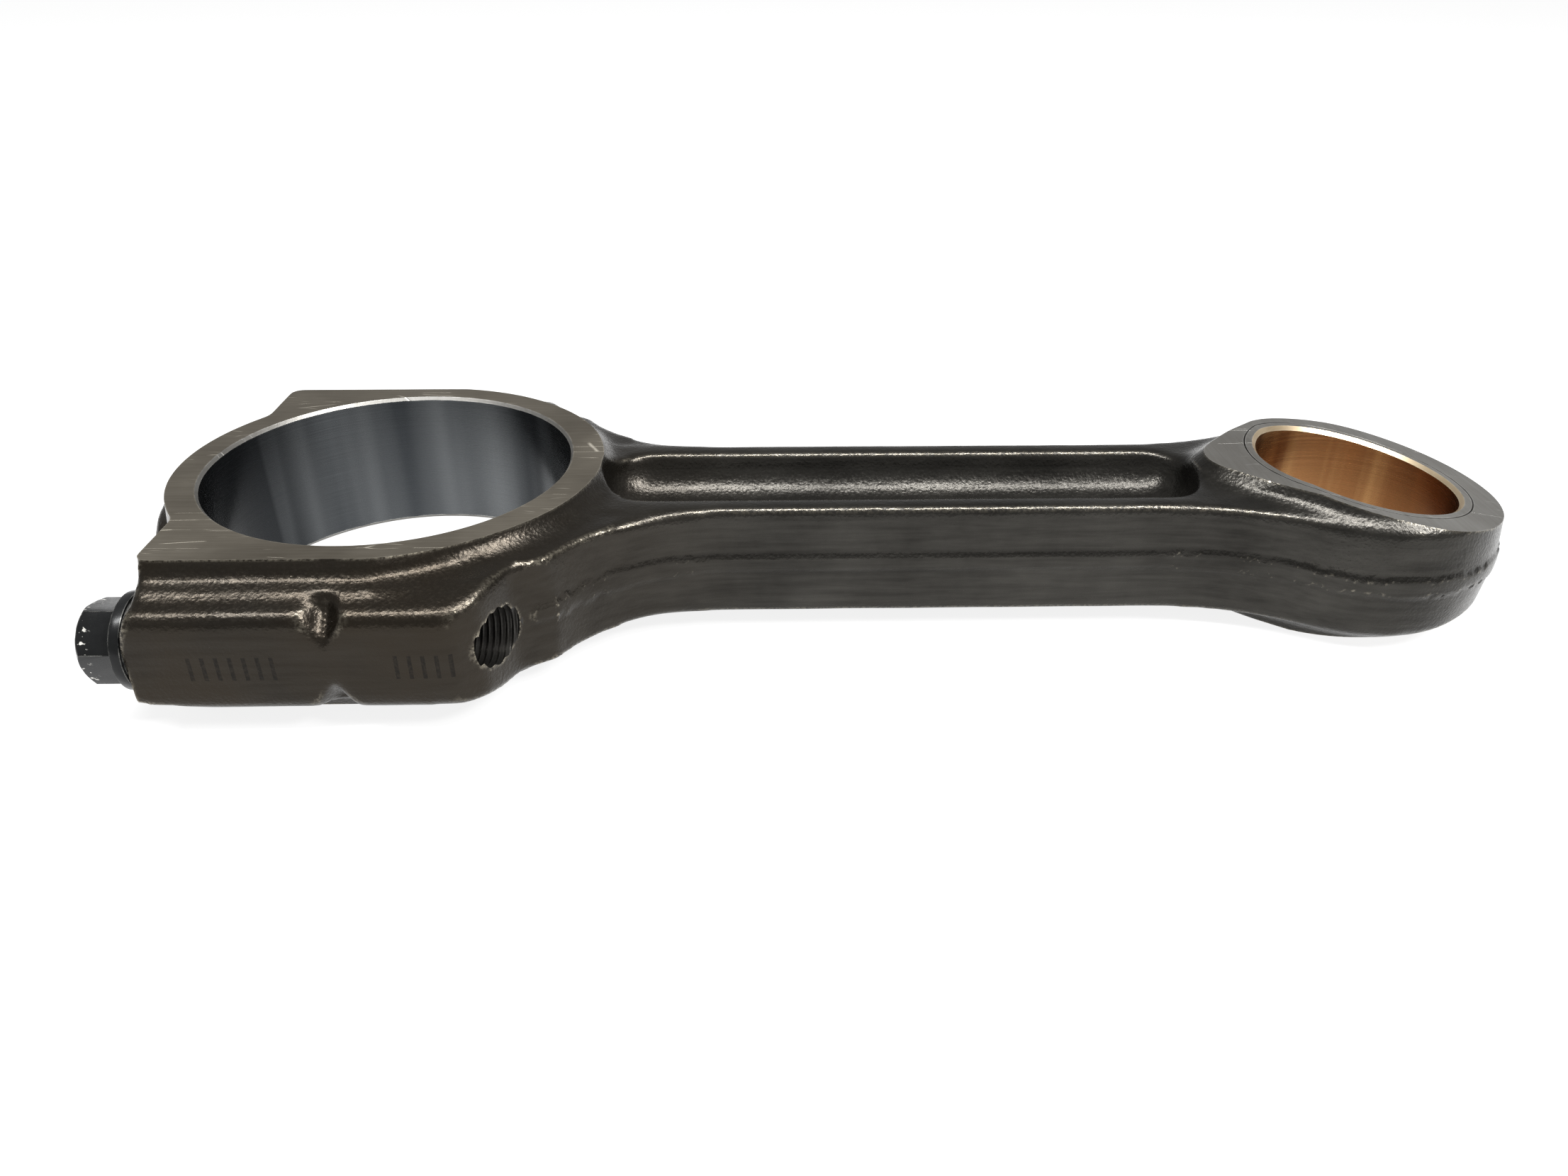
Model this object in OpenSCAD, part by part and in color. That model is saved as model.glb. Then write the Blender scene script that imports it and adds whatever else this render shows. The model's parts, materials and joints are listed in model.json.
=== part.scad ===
// Connecting rod for a heavy-duty diesel engine.
// Origin: centre of the big-end bore at mid-thickness. +X runs along the
// shank to the small end, +Z runs along the bores, +Y runs across the rod.
// The rod is the same on both sides of the planes y = 0 and z = 0.

/* [Big end] */
// Diameter of the housing bore that holds the bearing shells
big_bore_d = 80; // [78:0.5:80]
// Diameter of the ring round the bore
big_ring_d = 93; // [91:1:94]
// Thickness between the two thrust faces
big_w = 34; // [31:1:38]
// Chamfer at both ends of the housing bore
big_chamfer = 0.8; // [0.3:0.1:1.2]
// Distance across the two flat sides of the thrust face
face_across = 91.4; // [89:0.2:92]
// Distance from the parting plane to the shoulder of the cap's face
cap_shoulder_x = 36.9; // [34:0.1:36.9]

/* [Bolt bosses] */
// Distance between the two bolt axes
bolt_pitch = 94.4; // [94:0.2:95]
// Distance across the outsides of the two bosses
boss_across = 113; // [112:0.5:115]
// Height of the boss's outer side
boss_side_h = 20.8; // [18:0.2:22]
// Height of the boss beside the thrust face
boss_root_h = 25.6; // [24:0.2:28]
// Distance from the parting plane to the bolt seats on the cap
seat_x = 38; // [37:0.5:40]
// Depth of the notch that marks the parting plane on the boss edges
notch_depth = 2.6; // [1:0.2:3]

/* [Cap bolts] */
// Nominal thread diameter
thread_d = 12; // [11:0.5:12]
// Length under the head
bolt_length = 60; // [50:1:64]
// Distance across the flats of the hexagon
hex_flats = 15; // [14:0.5:16]
// Height of the hexagon
hex_h = 6.9; // [6:0.1:10]
// Diameter of the round flange under the hexagon
flange_d = 19.6; // [18:0.2:20]
// Thickness of the flange with its cone
flange_h = 3.4; // [3:0.2:4.6]

/* [Shank] */
// Width of the I-section
shank_w = 35.6; // [32:0.2:38]
// Height of the I-section's flanges
shank_h = 26.2; // [24:0.2:28]
// Width of the pocket between the flanges
pocket_w = 24; // [20:0.5:26]
// Thickness of the web under the pocket
web_t = 7; // [5:0.5:10]

/* [Small end] */
// Distance between the centres of the two bores
centre_distance = 221; // [215:1:226]
// Diameter of the bush's bore
pin_bore_d = 45; // [43:0.5:46]
// Wall thickness of the bush
bush_wall = 2.5; // [2:0.25:3]
// Chamfer at both ends of the bush's bore
bush_chamfer = 0.8; // [0.4:0.1:1]
// Outside diameter of the eye
eye_d = 65; // [60:1:66]
// Thickness of the eye at the pin's axis
eye_w = 27.9; // [26.4:0.1:30]
// Angle of each thrust face to the rod's mid-plane
wedge_angle = 9.9; // [8:0.1:11]

/* [Hidden] */
$fn = 128;
eps = 0.01;

big_bore_r = big_bore_d / 2;
big_ring_r = big_ring_d / 2;
eye_r = eye_d / 2;
pin_r = pin_bore_d / 2;
bush_r = pin_r + bush_wall;
bolt_y = bolt_pitch / 2;
boss_y = boss_across / 2;
face_y = face_across / 2;
shank_y = shank_w / 2;
reach = 400;

// Forging blends in plan
shoulder_blend_r = 38;
eye_blend_r = 63;
boss_front_x = 25;
boss_corner = [28.6, 52.5];
breakout_corner = [33, 41.5];
shoulder_end_x = 72.5;
shoulder_z = 12.4;
eye_blend_x = centre_distance
    - sqrt(pow(eye_r + eye_blend_r, 2) - pow(shank_y + eye_blend_r, 2));

// Bolt holes: a clear hole in the cap and a tapped hole in the rod
cap_hole_r = thread_d / 2 + 0.2;
thread_clear = 0.1;
shank_relief = 0.6;
thread_length = 24;
hex_turn = 12;

// Pocket of the shank
pocket_start_x = 47.5;
pocket_end_x = centre_distance - 38;
pocket_corner_r = 7;

// Raised thrust face of the small end: a round eye with a narrower nose
// pointing along the shank. It is as thick as the big end up to where the
// inclined faces take over.
pad_r = 27.5;
pad_nose_r = 9.8;
pad_nose_x = centre_distance - 25.8;
pad_top_z = big_w / 2;

// Crown pad on the cap
crown_x = 52;
crown_z = 7.5;
crown_root_y = 17;
crown_top_y = 10;

// Draws its children on both sides of the plane y = 0
module both_sides() {
    children();
    mirror([0, 1, 0]) children();
}

// Everything on the small-end side of the parting plane, in plan
module rod_side() {
    translate([0, -reach / 2]) square([reach, reach]);
}

// Everything on the cap side of the parting plane, in plan
module cap_side() {
    mirror([1, 0]) rod_side();
}

// Plan of the big end's thrust face, both halves, without the bore
module face_plan() {
    intersection() {
        union() {
            circle(big_ring_r);
            difference() {
                translate([-cap_shoulder_x, -face_y])
                    square([cap_shoulder_x + big_bore_r / 4, face_across]);
                translate([-cap_shoulder_x - eps, -crown_root_y])
                    square([cap_shoulder_x, crown_root_y * 2]);
            }
        }
        square([reach, face_across], center = true);
    }
}

// The housing bore with its chamfers, as a cutter
module big_bore() {
    mouth_r = big_bore_r + big_chamfer;
    rotate_extrude()
        polygon([
            [0, -big_w], [mouth_r, -big_w], [mouth_r, -big_w / 2],
            [big_bore_r, -big_w / 2 + big_chamfer], [big_bore_r, big_w / 2 - big_chamfer],
            [mouth_r, big_w / 2], [mouth_r, big_w], [0, big_w]
        ]);
}

// Section of one bolt boss across the rod: a sloping top and a rounded outer edge
module boss_section() {
    edge_r = 2.5;
    union() {
        polygon([
            [big_bore_r - 2, -boss_root_h / 2], [face_y + 1.5, -boss_root_h / 2],
            [boss_y - edge_r, -boss_side_h / 2], [boss_y, -boss_side_h / 2 + edge_r],
            [boss_y, boss_side_h / 2 - edge_r], [boss_y - edge_r, boss_side_h / 2],
            [face_y + 1.5, boss_root_h / 2], [big_bore_r - 2, boss_root_h / 2]
        ]);
        for (side = [-1, 1])
            translate([boss_y - edge_r, side * (boss_side_h / 2 - edge_r)]) circle(edge_r);
    }
}

// Both bosses between two stations along the rod
module bosses(from_x, to_x) {
    both_sides()
        translate([from_x, 0, 0]) rotate([90, 0, 90])
            linear_extrude(to_x - from_x) boss_section();
}

// V-shaped notches across the boss edges at the parting plane
module parting_notches() {
    notch_r = notch_depth * 2;
    both_sides()
        for (side = [-1, 1])
            translate([0, boss_y + notch_depth / 2, side * (boss_side_h / 2 + notch_depth / 2)])
                rotate([side * 45, 0, 0])
                    cylinder(r = notch_r, h = boss_side_h / 2, center = true, $fn = 4);
}

// A round hole along both bolt axes
module bolt_holes(radius, from_x, to_x) {
    both_sides()
        translate([from_x, bolt_y, 0]) rotate([0, 90, 0])
            cylinder(r = radius, h = to_x - from_x);
}

// Plan of the sloping shoulders that carry the bosses into the shank
module shoulder_plan() {
    difference() {
        polygon([
            [0, -boss_y + 2], [boss_front_x, -boss_y + 2],
            [boss_corner.x, -boss_corner.y], [breakout_corner.x, -breakout_corner.y],
            [shoulder_end_x, -shank_y], [shoulder_end_x, shank_y],
            [breakout_corner.x, breakout_corner.y], [boss_corner.x, boss_corner.y],
            [boss_front_x, boss_y - 2], [0, boss_y - 2]
        ]);
        for (side = [-1, 1])
            translate([shoulder_end_x, side * (shank_y + shoulder_blend_r)])
                circle(shoulder_blend_r);
    }
}

// Plan of the shank and the eye with the blends between them
module shank_plan() {
    blend_y = shank_y + eye_blend_r;
    toward = [eye_blend_x - centre_distance, blend_y] / (eye_r + eye_blend_r);
    tangent = [centre_distance, 0] + eye_r * toward;
    translate([big_bore_r, -shank_y]) square([centre_distance - big_bore_r, shank_w]);
    translate([centre_distance, 0]) circle(eye_r);
    difference() {
        polygon([
            [eye_blend_x, -tangent.y], [tangent.x, -tangent.y],
            [tangent.x, tangent.y], [eye_blend_x, tangent.y]
        ]);
        for (side = [-1, 1])
            translate([eye_blend_x, side * blend_y]) circle(eye_blend_r);
    }
}

// Pocket between the flanges on one side: round towards the big end,
// square with round corners towards the eye
module pocket_plan() {
    half = pocket_w / 2;
    union() {
        translate([pocket_start_x + half, 0]) circle(half);
        translate([pocket_start_x + half, -half])
            square([pocket_end_x - pocket_corner_r - pocket_start_x - half, pocket_w]);
        translate([pocket_end_x - pocket_corner_r * 2, -half + pocket_corner_r])
            square([pocket_corner_r * 2, pocket_w - pocket_corner_r * 2]);
        for (side = [-1, 1])
            translate([pocket_end_x - pocket_corner_r, side * (half - pocket_corner_r)])
                circle(pocket_corner_r);
    }
}

// Plan of the raised thrust face: an eye and a smaller nose with their common tangents
module pad_plan() {
    span = centre_distance - pad_nose_x;
    lean = asin((pad_r - pad_nose_r) / span);
    tangent = [-sin(lean), cos(lean)];
    eye = [centre_distance, 0] + pad_r * tangent;
    nose = [pad_nose_x, 0] + pad_nose_r * tangent;
    union() {
        translate([centre_distance, 0]) circle(pad_r);
        translate([pad_nose_x, 0]) circle(pad_nose_r);
        polygon([eye, nose, [nose.x, -nose.y], [eye.x, -eye.y]]);
    }
}

// The space between the two inclined thrust faces of the small end
module wedge() {
    rise = tan(wedge_angle);
    from_x = centre_distance - 60;
    to_x = centre_distance + 40;
    rotate([90, 0, 0])
        linear_extrude(eye_d * 2, center = true)
            polygon([
                [from_x, -eye_w / 2 - 60 * rise], [to_x, -eye_w / 2 + 40 * rise],
                [to_x, eye_w / 2 - 40 * rise], [from_x, eye_w / 2 + 60 * rise]
            ]);
}

// The small end as forged and faced, without its hole
module small_end() {
    intersection() {
        union() {
            linear_extrude(pad_top_z * 2, center = true) pad_plan();
            linear_extrude(shank_h, center = true)
                intersection() {
                    shank_plan();
                    translate([centre_distance - 60, -eye_r]) square([eye_d * 2, eye_d]);
                }
        }
        wedge();
    }
}

module rod_forging() {
    color("dimgray")
    difference() {
        union() {
            linear_extrude(big_w, center = true)
                intersection() { face_plan(); rod_side(); }
            bosses(0, boss_front_x);
            linear_extrude(shoulder_z * 2, center = true) shoulder_plan();
            linear_extrude(shank_h, center = true)
                difference() {
                    shank_plan();
                    translate([centre_distance - 50, -eye_r - 1]) square([eye_d * 2, eye_d + 2]);
                }
            small_end();
        }
        big_bore();
        for (side = [0, 1])
            mirror([0, 0, side])
                translate([0, 0, web_t / 2]) linear_extrude(shank_h) pocket_cut_plan();
        bolt_holes(thread_d / 2, -eps, boss_front_x * 2);
        parting_notches();
        translate([centre_distance, 0, 0])
            cylinder(r = bush_r, h = pad_top_z * 3, center = true);
    }
}

// The pocket stops at the ring and at the raised face
module pocket_cut_plan() {
    difference() {
        pocket_plan();
        circle(big_ring_r);
        pad_plan();
    }
}

module bearing_cap() {
    color("dimgray")
    difference() {
        union() {
            linear_extrude(big_w, center = true)
                intersection() { face_plan(); cap_side(); }
            bosses(-seat_x, 0);
            linear_extrude(crown_z * 2, center = true)
                polygon([
                    [-big_bore_r - 2, -crown_root_y], [-crown_x, -crown_top_y],
                    [-crown_x, crown_top_y], [-big_bore_r - 2, crown_root_y]
                ]);
        }
        big_bore();
        bolt_holes(cap_hole_r, -seat_x - 1, eps);
        parting_notches();
    }
}

// One cap bolt along +X with the underside of its head at x = 0
module cap_bolt() {
    thread_r = thread_d / 2 - thread_clear;
    shank_r = thread_d / 2 - shank_relief;
    hex_r = hex_flats / sqrt(3);
    rim_h = flange_h * 0.55;
    color([0.1, 0.1, 0.11])
    union() {
        translate([-flange_h - hex_h, 0, 0]) rotate([0, 90, 0])
            intersection() {
                rotate([0, 0, hex_turn]) cylinder(r = hex_r, h = hex_h + 1, $fn = 6);
                rotate_extrude()
                    polygon([
                        [0, 0], [hex_flats / 2 - 0.4, 0], [hex_r + 0.1, 1.2],
                        [hex_r + 0.1, hex_h + 1], [0, hex_h + 1]
                    ]);
            }
        rotate([0, -90, 0]) {
            cylinder(r = flange_d / 2, h = rim_h);
            translate([0, 0, rim_h])
                cylinder(r1 = flange_d / 2 - 0.4, r2 = hex_flats / 2, h = flange_h - rim_h);
        }
        rotate([0, 90, 0]) {
            translate([0, 0, -1]) cylinder(r = shank_r, h = bolt_length - thread_length + 1.5);
            translate([0, 0, bolt_length - thread_length])
                cylinder(r = thread_r, h = thread_length - 1);
            translate([0, 0, bolt_length - 1]) cylinder(r1 = thread_r, r2 = thread_r - 1, h = 1);
        }
    }
}

module cap_bolt_near() {
    translate([-seat_x, -bolt_y, 0]) cap_bolt();
}

module cap_bolt_far() {
    translate([-seat_x, bolt_y, 0]) cap_bolt();
}

module small_end_bush() {
    high = min(pad_top_z, eye_w / 2 + tan(wedge_angle) * pin_r);
    color([0.72, 0.5, 0.26])
    difference() {
        intersection() {
            translate([centre_distance, 0, 0])
                cylinder(r = bush_r, h = pad_top_z * 2, center = true);
            wedge();
        }
        translate([centre_distance, 0, 0])
            cylinder(r = pin_r, h = pad_top_z * 3, center = true);
        // lead-in chamfers, cut square to the bore
        for (side = [-1, 1])
            translate([centre_distance, 0, 0]) mirror([0, 0, side < 0 ? 1 : 0])
                translate([0, 0, high - bush_chamfer])
                    cylinder(r1 = pin_r, r2 = pin_r + bush_chamfer * 2, h = bush_chamfer * 2);
    }
}

rod_forging();
bearing_cap();
cap_bolt_near();
cap_bolt_far();
small_end_bush();
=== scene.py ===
import json
import math

import bpy
from mathutils import Matrix, Vector


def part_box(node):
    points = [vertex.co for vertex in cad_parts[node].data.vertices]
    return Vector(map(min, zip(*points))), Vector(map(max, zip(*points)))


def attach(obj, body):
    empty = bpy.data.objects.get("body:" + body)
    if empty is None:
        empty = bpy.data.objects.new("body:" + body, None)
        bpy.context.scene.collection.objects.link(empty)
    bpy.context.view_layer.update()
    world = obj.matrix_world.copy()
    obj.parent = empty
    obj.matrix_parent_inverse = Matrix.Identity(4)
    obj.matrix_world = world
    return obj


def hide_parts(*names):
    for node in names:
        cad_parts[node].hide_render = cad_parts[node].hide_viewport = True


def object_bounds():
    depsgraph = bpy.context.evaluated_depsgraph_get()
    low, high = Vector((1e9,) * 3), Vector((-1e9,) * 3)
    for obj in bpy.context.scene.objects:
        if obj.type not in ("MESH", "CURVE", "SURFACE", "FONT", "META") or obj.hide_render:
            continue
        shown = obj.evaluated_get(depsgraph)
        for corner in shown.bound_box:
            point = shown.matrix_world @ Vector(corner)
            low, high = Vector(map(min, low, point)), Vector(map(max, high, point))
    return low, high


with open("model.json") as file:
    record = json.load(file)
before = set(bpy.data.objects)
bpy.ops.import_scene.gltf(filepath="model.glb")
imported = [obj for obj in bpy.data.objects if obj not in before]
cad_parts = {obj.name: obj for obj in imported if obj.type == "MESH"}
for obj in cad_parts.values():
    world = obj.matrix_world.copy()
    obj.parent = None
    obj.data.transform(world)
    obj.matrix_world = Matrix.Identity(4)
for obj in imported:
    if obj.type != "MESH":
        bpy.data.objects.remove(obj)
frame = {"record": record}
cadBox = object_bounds()
mm = 0.001

# Every piece is modelled in millimetres and brought down to metres when it is finished.
mounts = {mount["name"]: mount for mount in frame["record"]["mounts"]}
bigBoreRadius = mounts["big_end_bore"]["dims"]["r_mm"]
pinRadius = mounts["small_end_bore"]["dims"]["r_mm"]
smallEndX = mounts["small_end_bore"]["pos_m"][0] / mm
faceZ = mounts["big_end_thrust_top"]["pos_m"][2] / mm
wedgeNormal = Vector(mounts["small_end_thrust_top"]["axis"])
wedgePoint = Vector(mounts["small_end_thrust_top"]["pos_m"]) / mm
wedgeSlope = wedgeNormal.x / wedgeNormal.z
eyeZ = wedgePoint.z + (wedgePoint.x - smallEndX) * wedgeSlope  # half the eye's height at its centre
bushBox = [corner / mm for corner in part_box("small_end_bush")]
bushRadius = (bushBox[1].y - bushBox[0].y) / 2
boltBox = [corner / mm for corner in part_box("cap_bolt_near")]
boltY = -(boltBox[0].y + boltBox[1].y) / 2
capBox = [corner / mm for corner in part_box("bearing_cap")]
bossY = capBox[1].y


def pick(*objs):
    bpy.ops.object.select_all(action="DESELECT")
    for obj in objs:
        obj.select_set(True)
    bpy.context.view_layer.objects.active = objs[0]


def editMode(obj, selectMode="VERT"):
    pick(obj)
    bpy.ops.object.mode_set(mode="EDIT")
    bpy.ops.mesh.select_mode(type=selectMode)
    bpy.ops.mesh.select_all(action="DESELECT")


def objectMode():
    bpy.ops.object.mode_set(mode="OBJECT")


def placed(obj):
    pick(obj)
    bpy.ops.object.transform_apply(location=True, rotation=True, scale=True)
    return obj


def addBlock(low, high):
    centre = [(a + b) / 2 for a, b in zip(low, high)]
    size = [b - a for a, b in zip(low, high)]
    bpy.ops.object.select_all(action="DESELECT")
    bpy.ops.mesh.primitive_cube_add(size=1, location=centre)
    bpy.context.active_object.scale = size
    return placed(bpy.context.active_object)


def addRound(radius, low, high, centre=(0, 0), topRadius=None, axis="Z", sides=128):
    # a cylinder or cone from low to high along its axis, with its centre given across that axis
    topRadius = radius if topRadius is None else topRadius
    middle = (low + high) / 2
    location = (*centre, middle) if axis == "Z" else (middle, *centre)
    turn = (0, 0, 0) if axis == "Z" else (0, math.pi / 2, 0)
    bpy.ops.object.select_all(action="DESELECT")
    bpy.ops.mesh.primitive_cone_add(vertices=sides, radius1=radius, radius2=topRadius,
                                    depth=high - low, location=location, rotation=turn)
    return placed(bpy.context.active_object)


def useModifier(obj, kind, **settings):
    modifier = obj.modifiers.new(kind.lower(), kind)
    for name, value in settings.items():
        setattr(modifier, name, value)
    pick(obj)
    bpy.ops.object.modifier_apply(modifier=modifier.name)


def combine(obj, tool, operation):
    # a cutter's material stays on the faces that it leaves
    before = len(obj.data.polygons)
    useModifier(obj, "BOOLEAN", operation=operation, object=tool, solver="MANIFOLD",
                material_mode="TRANSFER")
    bpy.data.objects.remove(tool)
    if len(obj.data.polygons) in (0, before):
        print("   no change from", operation, obj.name, before)


def cut(obj, *tools):
    for tool in tools:
        combine(obj, tool, "DIFFERENCE")


def selectAll():
    bpy.ops.mesh.select_all(action="SELECT")


def turnOutwards():
    selectAll()
    bpy.ops.mesh.normals_make_consistent(inside=False)


def trim(obj, point, normal):
    # cuts away what lies on the normal's side of the plane, and closes the cut
    editMode(obj)
    selectAll()
    bpy.ops.mesh.bisect(plane_co=point, plane_no=Vector(normal).normalized(),
                        use_fill=True, clear_outer=True)
    objectMode()


def giveDraft(obj, amount, centre):
    # the walls lean out to the middle plane, where the dies met
    editMode(obj)
    selectAll()
    bpy.ops.mesh.bisect(plane_co=(0, 0, 0), plane_no=(0, 0, 1))
    size = obj.dimensions
    grow = (1 + 2 * amount / size.x, 1 + 2 * amount / size.y, 1)
    bpy.ops.transform.resize(value=grow, center_override=(*centre, 0))
    objectMode()
    return obj


def copyOf(obj, mirrored=None):
    pick(obj)
    bpy.ops.object.duplicate()
    twin = bpy.context.active_object
    if mirrored is not None:
        twin.scale = [-1 if axis == mirrored else 1 for axis in "XYZ"]
        placed(twin)
        editMode(twin)
        turnOutwards()
        objectMode()
    return twin


def joined(objs, name):
    pick(*objs)
    bpy.ops.object.join()
    obj = bpy.context.active_object
    obj.name = name
    return obj


def selectWhere(obj, test):
    # goes into edit mode with the vertices that pass the test selected
    editMode(obj)
    objectMode()
    for vertex in obj.data.vertices:
        vertex.select = test(vertex.co, vertex.normal)
    bpy.ops.object.mode_set(mode="EDIT")


def finishPiece(obj, name, body, node, angle=32):
    obj.name = name
    obj.data.name = name
    obj.scale = (mm, mm, mm)
    placed(obj)
    bpy.ops.object.shade_smooth_by_angle(angle=math.radians(angle))
    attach(obj, body)
    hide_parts(node)
    print("   ", name, len(obj.data.polygons), "faces")
    return obj


def newGroup(name, inputs, outputs):
    group = bpy.data.node_groups.new(name, "ShaderNodeTree")
    for label, default in inputs:
        socket = group.interface.new_socket(label, in_out="INPUT", socket_type="NodeSocketFloat")
        socket.default_value = default
    for label in outputs:
        group.interface.new_socket(label, in_out="OUTPUT", socket_type="NodeSocketFloat")
    return group, group.nodes.new("NodeGroupInput"), group.nodes.new("NodeGroupOutput")


def addNode(tree, kind, settings=None, values=None, links=None):
    # settings are the node's own properties, values its sockets' numbers, links its sockets' sources
    node = tree.nodes.new(kind)
    for name, value in (settings or {}).items():
        setattr(node, name, value)
    for name, value in (values or {}).items():
        node.inputs[name].default_value = value
    for name, source in (links or {}).items():
        tree.links.new(source, node.inputs[name])
    return node


def maths(tree, operation, first, second=None, clamp=False):
    node = tree.nodes.new("ShaderNodeMath")
    node.operation = operation
    node.use_clamp = clamp
    for socket, value in zip(node.inputs, (first, second)):
        if isinstance(value, (int, float)):
            socket.default_value = value
        elif value is not None:
            tree.links.new(value, socket)
    return node.outputs[0]


def product(tree, first, second, clamp=False):
    return maths(tree, "MULTIPLY", first, second, clamp)


def remap(tree, source, low, high, toLow=0.0, toHigh=1.0):
    values = {"From Min": low, "From Max": high, "To Min": toLow, "To Max": toHigh}
    return addNode(tree, "ShaderNodeMapRange", values=values, links={"Value": source}).outputs["Result"]


def ownPlace(tree):
    # the place on the piece, in metres
    return addNode(tree, "ShaderNodeTexCoord").outputs["Object"]


def placeAlong(tree, axis):
    return addNode(tree, "ShaderNodeSeparateXYZ", links={"Vector": ownPlace(tree)}).outputs[axis]


def noise(tree, coords, scale, detail=3.0, rough=0.55, stretch=None):
    if stretch is not None:
        mapping = addNode(tree, "ShaderNodeMapping", values={"Scale": stretch}, links={"Vector": coords})
        coords = mapping.outputs[0]
    values = {"Scale": scale, "Detail": detail, "Roughness": rough}
    return addNode(tree, "ShaderNodeTexNoise", values=values, links={"Vector": coords}).outputs["Fac"]


def blendColours(tree, mask, first, second):
    node = addNode(tree, "ShaderNodeMix", settings={"data_type": "RGBA"})
    tree.links.new(mask, node.inputs[0])
    for socket, colour in ((node.inputs[6], first), (node.inputs[7], second)):
        if isinstance(colour, tuple):
            socket.default_value = (*colour, 1)
        else:
            tree.links.new(colour, socket)
    return node.outputs[2]


def makeForgedGrain():
    # shot-blasted scale: fine pits, soft blotches, and streaks where the metal flowed along the rod
    tree, _, ends = newGroup("forgedGrain", [], ["Height", "Fine", "Blotch", "Streak"])
    place = ownPlace(tree)
    fine = noise(tree, place, 1500, 2, 0.6)
    pits = addNode(tree, "ShaderNodeTexVoronoi", values={"Scale": 1300}, links={"Vector": place})
    lumps = noise(tree, place, 330, 3, 0.6)
    streak = noise(tree, place, 1, 5, 0.6, stretch=(45, 260, 650))
    blotch = noise(tree, place, 42, 4, 0.6)
    height = maths(tree, "ADD", product(tree, fine, 0.6), product(tree, pits.outputs["Distance"], 0.35))
    height = maths(tree, "ADD", height, product(tree, lumps, 0.9))
    tree.links.new(maths(tree, "ADD", height, product(tree, streak, 0.5)), ends.inputs["Height"])
    tree.links.new(fine, ends.inputs["Fine"])
    tree.links.new(blotch, ends.inputs["Blotch"])
    tree.links.new(streak, ends.inputs["Streak"])
    return tree


def makeEdgeWearAndHighlight():
    # painted highlight and wear: bright where an edge stands out of the surface, broken up so that it
    # does not run as a line
    tree, starts, ends = newGroup("edgeWearAndHighlight", [("Radius", 0.0006), ("Breakup", 700.0)], ["Mask"])
    rounded = addNode(tree, "ShaderNodeBevel", settings={"samples": 4},
                      links={"Radius": starts.outputs["Radius"]})
    flat = addNode(tree, "ShaderNodeNewGeometry")
    likeness = addNode(tree, "ShaderNodeVectorMath", settings={"operation": "DOT_PRODUCT"})
    tree.links.new(rounded.outputs["Normal"], likeness.inputs[0])
    tree.links.new(flat.outputs["Normal"], likeness.inputs[1])
    turn = remap(tree, likeness.outputs["Value"], 0.995, 0.9)
    rough = addNode(tree, "ShaderNodeTexNoise", values={"Detail": 3.0},
                    links={"Vector": ownPlace(tree), "Scale": starts.outputs["Breakup"]}).outputs["Fac"]
    # the break between rod and cap stays clean
    fromBreak = maths(tree, "ABSOLUTE", placeAlong(tree, "X"))
    turn = product(tree, turn, remap(tree, fromBreak, 0.0012, 0.0022))
    tree.links.new(product(tree, turn, remap(tree, rough, 0.35, 0.6), clamp=True), ends.inputs["Mask"])
    return tree


def makeToolMarks():
    # fine parallel lines that a cutter or hone left, with a few deeper scratches
    tree, starts, ends = newGroup("toolMarks", [("Along", 30.0), ("Across", 2500.0), ("Upright", 400.0)],
                                  ["Lines", "Scratch", "Cloud"])
    place = ownPlace(tree)
    scales = {"X": starts.outputs["Along"], "Y": starts.outputs["Across"], "Z": starts.outputs["Upright"]}
    stretch = addNode(tree, "ShaderNodeCombineXYZ", links=scales).outputs[0]
    mapped = addNode(tree, "ShaderNodeMapping", links={"Vector": place, "Scale": stretch}).outputs[0]
    tree.links.new(noise(tree, mapped, 1, 4, 0.65), ends.inputs["Lines"])
    scratches = None
    for turn, size in ((0.35, 26), (1.2, 31), (2.3, 23)):  # the scratches run three ways
        turned = addNode(tree, "ShaderNodeMapping", links={"Vector": place},
                         values={"Rotation": (0, 0, turn), "Scale": (0.09, 1, 0.4)}).outputs[0]
        cells = addNode(tree, "ShaderNodeTexVoronoi", settings={"feature": "DISTANCE_TO_EDGE"},
                        values={"Scale": size * 5}, links={"Vector": turned}).outputs["Distance"]
        line = remap(tree, cells, 0.006, 0.0)
        patch = remap(tree, noise(tree, place, size * 3, 2), 0.56, 0.62)
        line = product(tree, line, patch, clamp=True)
        scratches = line if scratches is None else maths(tree, "MAXIMUM", scratches, line)
    tree.links.new(scratches, ends.inputs["Scratch"])
    tree.links.new(noise(tree, place, 38, 3), ends.inputs["Cloud"])
    return tree


print("1 effects")
forgedGrain = makeForgedGrain()
edgeWearAndHighlight = makeEdgeWearAndHighlight()
toolMarks = makeToolMarks()


def newFinish(name, metal, rough, anisotropic=0.0):
    material = bpy.data.materials.new(name)
    material.use_nodes = True
    shader = material.node_tree.nodes["Principled BSDF"]
    shader.inputs["Metallic"].default_value = metal
    shader.inputs["Roughness"].default_value = rough
    shader.inputs["Anisotropic"].default_value = anisotropic
    return material, material.node_tree, shader


def useGroup(tree, group, values=None):
    return addNode(tree, "ShaderNodeGroup", settings={"node_tree": group}, values=values).outputs


def within(tree, source, middle, half):
    # 1 where the source is no further than half from the middle
    near = maths(tree, "COMPARE", source, middle)
    near.node.inputs[2].default_value = half
    return near


def addPaint(tree, shader, base, rough):
    tree.links.new(base, shader.inputs["Base Color"])
    tree.links.new(rough, shader.inputs["Roughness"])


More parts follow.
